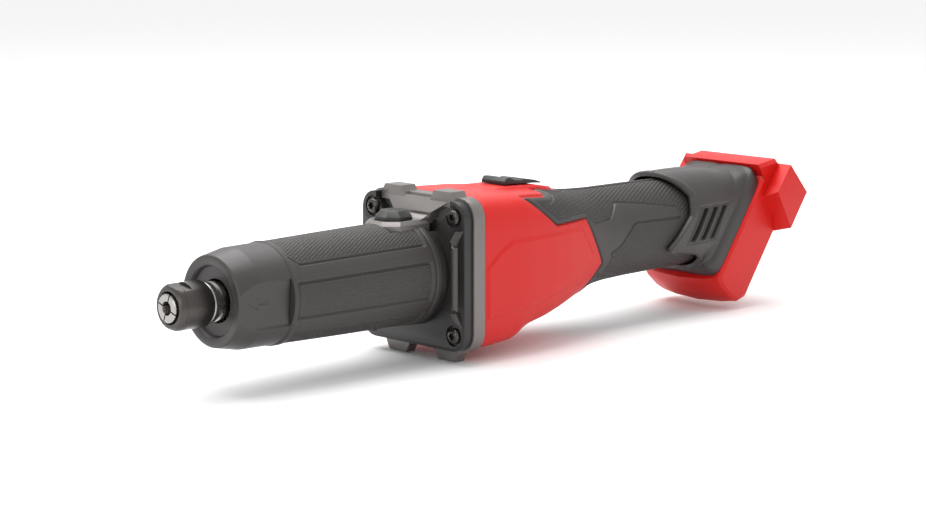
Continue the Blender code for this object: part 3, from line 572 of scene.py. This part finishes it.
def shroud():
    """The dark shroud, with its louvres, lip and plate."""
    columns, rows, samples = 420, 190, 700
    table = np.array([[t[0], t[1], b[0], b[1], h, q] for t, b, h, q in SHROUD])
    hop = np.diff(table, axis=0)
    lengths = np.hypot(hop[:, 0], hop[:, 1]) + np.hypot(hop[:, 2], hop[:, 3])
    knots = np.concatenate([[0], np.cumsum(lengths)])
    knots /= knots[-1]

    def surface(t, turn):
        tx, tz, bx, bz, half, square = (
            smooth_interp(t, knots, values, 0.012) for values in table.T
        )
        c, s = np.cos(turn), np.sin(turn)
        y = half * np.sign(c) * np.abs(c) ** (2 / square)
        v = (1 + np.sign(s) * np.abs(s) ** (2 / square)) / 2
        return np.stack([bx + (tx - bx) * v, y, bz + (tz - bz) * v], -1)

    # Even spacing round the ring, measured at the middle of the shroud
    fine = np.linspace(-pi / 2, 1.5 * pi, 1601)
    ring = surface(np.full(1601, 0.75), fine)
    length = np.concatenate([[0], np.cumsum(np.linalg.norm(np.diff(ring, axis=0), axis=1))])
    turn = np.interp(np.linspace(0, length[-1], columns, endpoint=False), length, fine)
    t, angle = np.meshgrid(np.linspace(0, 1, samples), turn, indexing="ij")
    trial = surface(t, angle)
    gone = polygon_distance(trial[..., 0], trial[..., 2], SHROUD_CUT) > 0
    start = np.where(gone.any(0), samples - 1 - np.argmax(gone[::-1], 0), 0) / (samples - 1)
    for _ in range(3):
        start = (np.roll(start, 1) + 2 * start + np.roll(start, -1)) / 4
    share = np.linspace(0, 1, rows)[:, None]
    grid = surface(start + (1 - start) * share, np.repeat(turn[None], rows, 0))
    across = np.roll(grid, -1, 1) - np.roll(grid, 1, 1)
    normal = np.cross(np.gradient(grid, axis=0), across)
    normal /= np.maximum(np.linalg.norm(normal, axis=2, keepdims=True), 1e-9)
    if (normal[..., 1] * grid[..., 1]).mean() < 0:
        normal = -normal
    x, y, z = grid[..., 0], grid[..., 1], grid[..., 2]
    hops = np.linalg.norm(np.diff(grid, axis=0), axis=2)
    run = np.concatenate([np.zeros((1, columns)), np.cumsum(hops, 0)])
    lift = 0.45 * (1 - step(run, 3.2, 4.4)) - 1.0 * (1 - step(run, 0, 0.9))
    vents = np.full(x.shape, OUTSIDE)
    for k in range(3):
        at = FIRST_VENT + VENT_PITCH * k
        louvre = [(at, -2.4), (at + 4.2, -2.4), (at + 15.6, 14.8), (at + 11.4, 14.8)]
        vents = np.maximum(vents, polygon_distance(x, z, louvre))
    vents = np.where(np.abs(y) > 12, vents, OUTSIDE)
    around = polygon_distance(x, z, [(180, -4.2), (205.6, -4.2), (218, 16.6), (192, 16.6)])
    around = np.where(np.abs(y) > 12, around, OUTSIDE)
    lift -= 0.5 * step(around, -0.3, 0.6)
    lift += 0.5 * step(vents, -1.4, -0.6) * (around > 0)
    lift -= 2.6 * step(vents, -0.3, 0.6)
    lift += line(y, 0.35, 0.4)
    outer = grid + normal * lift[..., None]
    rim = outer[:1] - normal[:1] * 2.0 + (outer[1:2] - outer[:1]) * 0.2
    points = np.concatenate([rim, outer]).reshape(-1, 3)
    faces = quads(rows + 1, columns)
    corner = points[faces]
    facing = np.cross(corner[:, 1] - corner[:, 0], corner[:, 3] - corner[:, 0])
    if (facing[:, 1] * corner.mean(1)[:, 1]).mean() < 0:
        faces = faces[:, ::-1]
    depth = np.concatenate([np.full((1, columns), OUTSIDE), vents]).reshape(-1)
    # The faces deepest in the louvres get the painted shade colour, in place of the shade inside
    # the vents
    shaded_vent_faces = depth[faces].mean(1) > 0.35
    centre = points[faces].mean(1)
    for name, side in (("left", -1), ("right", 1)):
        mine = centre[:, 1] * side > 0
        p, f = subset(points, faces, mine)
        node, index = f"shroud_{name}", shaded_vent_faces[mine].astype(int)
        made(f"{node}_shown", p, f, [DARK, VENT_SHADE], [node], index=index, sharp=60)


# ---------------------------------------------------------------- nut, collet, spindle, screws

# Closed profiles in (X, radius)
NUT = [
    (-154.0, 7.9), (-154.0, 9.3), (-153.6, 9.9), (-152.4, 11.0), (-151.6, 11.3),
    (-151.2, 11.3), (-150.9, 11.05), (-150.2, 11.05), (-149.9, 11.3), (-136.2, 11.3),
    (-135.5, 10.9), (-135.3, 10.4), (-135.3, 7.7), (-148.4, 7.7), (-149.2, 6.6),
    (-149.4, 6.6), (-150.6, 7.4),
]
COLLET = [
    (-155.3, 3.4), (-155.3, 6.3), (-154.9, 6.9), (-151.0, 7.0), (-149.6, 6.2),
    (-148.0, 6.2), (-147.4, 5.2), (-130.5, 4.6), (-130.5, 3.2), (-154.9, 3.2),
]
SHAFT = [
    (-147.0, 5.7), (-147.0, 7.0), (-146.7, 7.3), (-134.6, 7.3), (-134.0, 9.5),
    (-133.5, 9.9), (-131.2, 9.9), (-130.8, 9.5), (-130.2, 8.6), (-129.4, 8.6),
    (-128.9, 9.7), (-121.0, 9.7), (-120.4, 7.0), (-115.0, 7.0), (-114.6, 6.0),
    (-8.0, 6.0), (-8.0, 3.8), (-128.0, 3.8), (-128.6, 5.1),
]


def flats(obj, low, high, first, spacing):
    """Two equal box cuts, the second turned on by the spacing, then hard edges."""
    carve(obj, *[box_cutter(low, high, first + k * spacing) for k in range(2)])
    obj.data.set_sharp_from_angle(angle=radians(30))


def front_end():
    """The nut with its wrench flats, the slotted collet, and the spindle with its flats."""
    nut = revolve("collet_nut_shown", NUT, BLACKENED, ["collet_nut"], 128)
    flats(nut, (-153.2, -15, 10.0), (-145.5, 15, 15), radians(12), pi)
    collet = revolve("collet_shown", COLLET, STEEL, ["collet"])
    flats(collet, (-170, -0.35, -20), (-136, 0.35, 20), radians(20), pi / 2)
    shaft = revolve("spindle_shown", SHAFT, STEEL, ["spindle"])
    flats(shaft, (-130.7, -15, 8.4), (-121.2, 15, 15), pi / 2, pi)


# The head and shank in (X, radius)
SCREW = [
    (13.0, 0.05), (13.0, 2.0), (1.3, 2.0), (1.3, 4.0),
    (0.2, 4.0), (-0.6, 3.75), (-1.15, 3.1), (-1.4, 2.5),
]
RECESS = ((-1.4, 0.12), (-1.25, 0.0), (0.5, 0.0), (0.5, -1.7))


def screws():
    """Pan heads turned from SCREW, whose six-lobe recess follows RECESS in (X, growth)."""
    segments = 72
    turn = np.linspace(0, 2 * pi, segments, endpoint=False)
    star = 1.75 + 0.38 * np.cos(6 * turn)
    rings = SCREW + [(x, np.maximum(star + grow, 0.05)) for x, grow in RECESS]
    for k in range(4):
        node = f"flange_screw_{k + 1}"
        low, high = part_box(node)
        y, z = (low.y + high.y) * 500 - ORIGIN[1], (low.z + high.z) * 500 - ORIGIN[2]
        points = [
            np.stack([np.full(segments, x), y + r * np.cos(turn), z + r * np.sin(turn)], 1)
            for x, r in rings
        ]
        faces = quads(len(points), segments)
        obj = made(f"{node}_shown", np.concatenate(points), faces, [BLACKENED], [node], sharp=35)
        tidy_normals(obj)


# ---------------------------------------------------------------- the rest, from the CAD shapes


# Corners in (Y, Z) on the left side of the flange
BAR_FOOT = ((-33.4, 15.6), (-28.6, 17.4), (-28.6, -18.4), (-33.4, -17.6))
BAR_CROWN = ((-31.6, 14.6), (-30.2, 15.0), (-30.2, -16.2), (-31.6, -16.0))
FACETS = {
    "upper": ((-33.0, 16.2), (-28.9, 18.0), (-31.6, 23.4), (-37.4, 24.0)),
    "lower": ((-33.0, -18.2), (-28.9, -19.2), (-31.0, -23.0), (-37.0, -25.6)),
}
FACET_RISE = (-1.5, -1.5, -0.2, -0.2)
RIDGE_FACES = [(0, 1, 5, 4), (1, 2, 6, 5), (2, 3, 7, 6), (3, 0, 4, 7), (4, 5, 6, 7)]


def ridge(name, foot, crown):
    obj = made(name, foot + crown, RIDGE_FACES, [FACET], None, smooth=False)
    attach(obj, "tool")
    tidy_normals(obj)


def flange_ridges():
    """The faceted bars on the flange, one on each side, with a sloping facet at each end."""
    sunk, proud = 0.4, -1.5
    for name, side in (("left", 1), ("right", -1)):
        foot = [(sunk, side * y, z) for y, z in BAR_FOOT]
        crown = [(proud, side * y, z) for y, z in BAR_CROWN]
        ridge(f"flange_bar_{name}", foot, crown)
        for part, corners in FACETS.items():
            foot = [(sunk, side * y, z) for y, z in corners]
            crown = [
                (rise, side * (y * 0.97 - 0.9), z * 0.985)
                for rise, (y, z) in zip(FACET_RISE, corners)
            ]
            ridge(f"flange_{part}_facet_{name}", foot, crown)


def castings():
    """The pieces whose CAD shape only needs its edges rounded."""
    bevelled("gearcase", 0.6, GREY)
    bevelled("front_flange", 0.5, BLACK)
    bevelled("lock_button", 0.4, BLACK)
    bevelled("slide_switch", 0.45, BLACK)
    bevelled("battery_foot", 1.0, RED, segments=4)
    bevelled("terminal_block", 0.3, BLACK)


barrel()
body()
shroud()
front_end()
screws()
flange_ridges()
castings()


# ---------------------------------------------------------------- stage, light and camera


def area(name, place, aim, size, power):
    """A square softbox that points at the aim."""
    data = bpy.data.lights.new(name, "AREA")
    data.shape, data.size, data.size_y = "RECTANGLE", size, size
    data.energy = power
    light = bpy.data.objects.new(name, data)
    light.location = place
    light.rotation_mode = "QUATERNION"
    light.rotation_quaternion = (Vector(aim) - Vector(place)).to_track_quat("-Z", "Y")
    bpy.context.scene.collection.objects.link(light)


FLOOR_GAP = 0.0002


def stage():
    data = bpy.data.meshes.new("floor")
    edge = 12.0
    corners = [(-edge, -edge, 0), (edge, -edge, 0), (edge, edge, 0), (-edge, edge, 0)]
    data.from_pydata(corners, [], [(0, 1, 2, 3)])
    floor = bpy.data.objects.new("floor", data)
    floor.location.z = CAD_LOW.z - FLOOR_GAP
    bpy.context.scene.collection.objects.link(floor)
    data.materials.append(finish("pale_floor", (0.9, 0.9, 0.9, 1), 0.9, vary=0.01))
    world = bpy.data.worlds.new("studio")
    bpy.context.scene.world = world
    world.use_nodes = True
    background = world.node_tree.nodes["Background"]
    background.inputs["Color"].default_value = (1, 1, 1, 1)
    background.inputs["Strength"].default_value = 1.0
    area("softbox_top", (0.0, 0.35, 1.1), (0, 0, 0), 1.2, 17)
    area("softbox_left", (-1.5, -0.2, 0.5), (-0.1, 0, 0.04), 0.7, 3.0)


# The camera fitted to the photograph
FOCAL_LENGTH, SENSOR_WIDTH = 95.25, 36
CAMERA_PLACE = (-0.8869, -0.9023, 0.2523)
CAMERA_RIGHT = Vector((0.7218, -0.6921, 0))
CAMERA_UP = Vector((0.1130, 0.1179, 0.9866))
CAMERA_BACK = Vector((-0.6829, -0.7121, 0.1633))


def camera():
    data = bpy.data.cameras.new("camera")
    data.lens, data.sensor_width = FOCAL_LENGTH, SENSOR_WIDTH
    data.clip_start, data.clip_end = 0.05, 50
    cam = bpy.data.objects.new("camera", data)
    turned = Matrix((CAMERA_RIGHT, CAMERA_UP, CAMERA_BACK)).transposed().to_4x4()
    cam.matrix_world = Matrix.Translation(CAMERA_PLACE) @ turned
    bpy.context.scene.collection.objects.link(cam)
    bpy.context.scene.camera = cam


stage()
camera()
bpy.context.scene.view_settings.view_transform = "Standard"
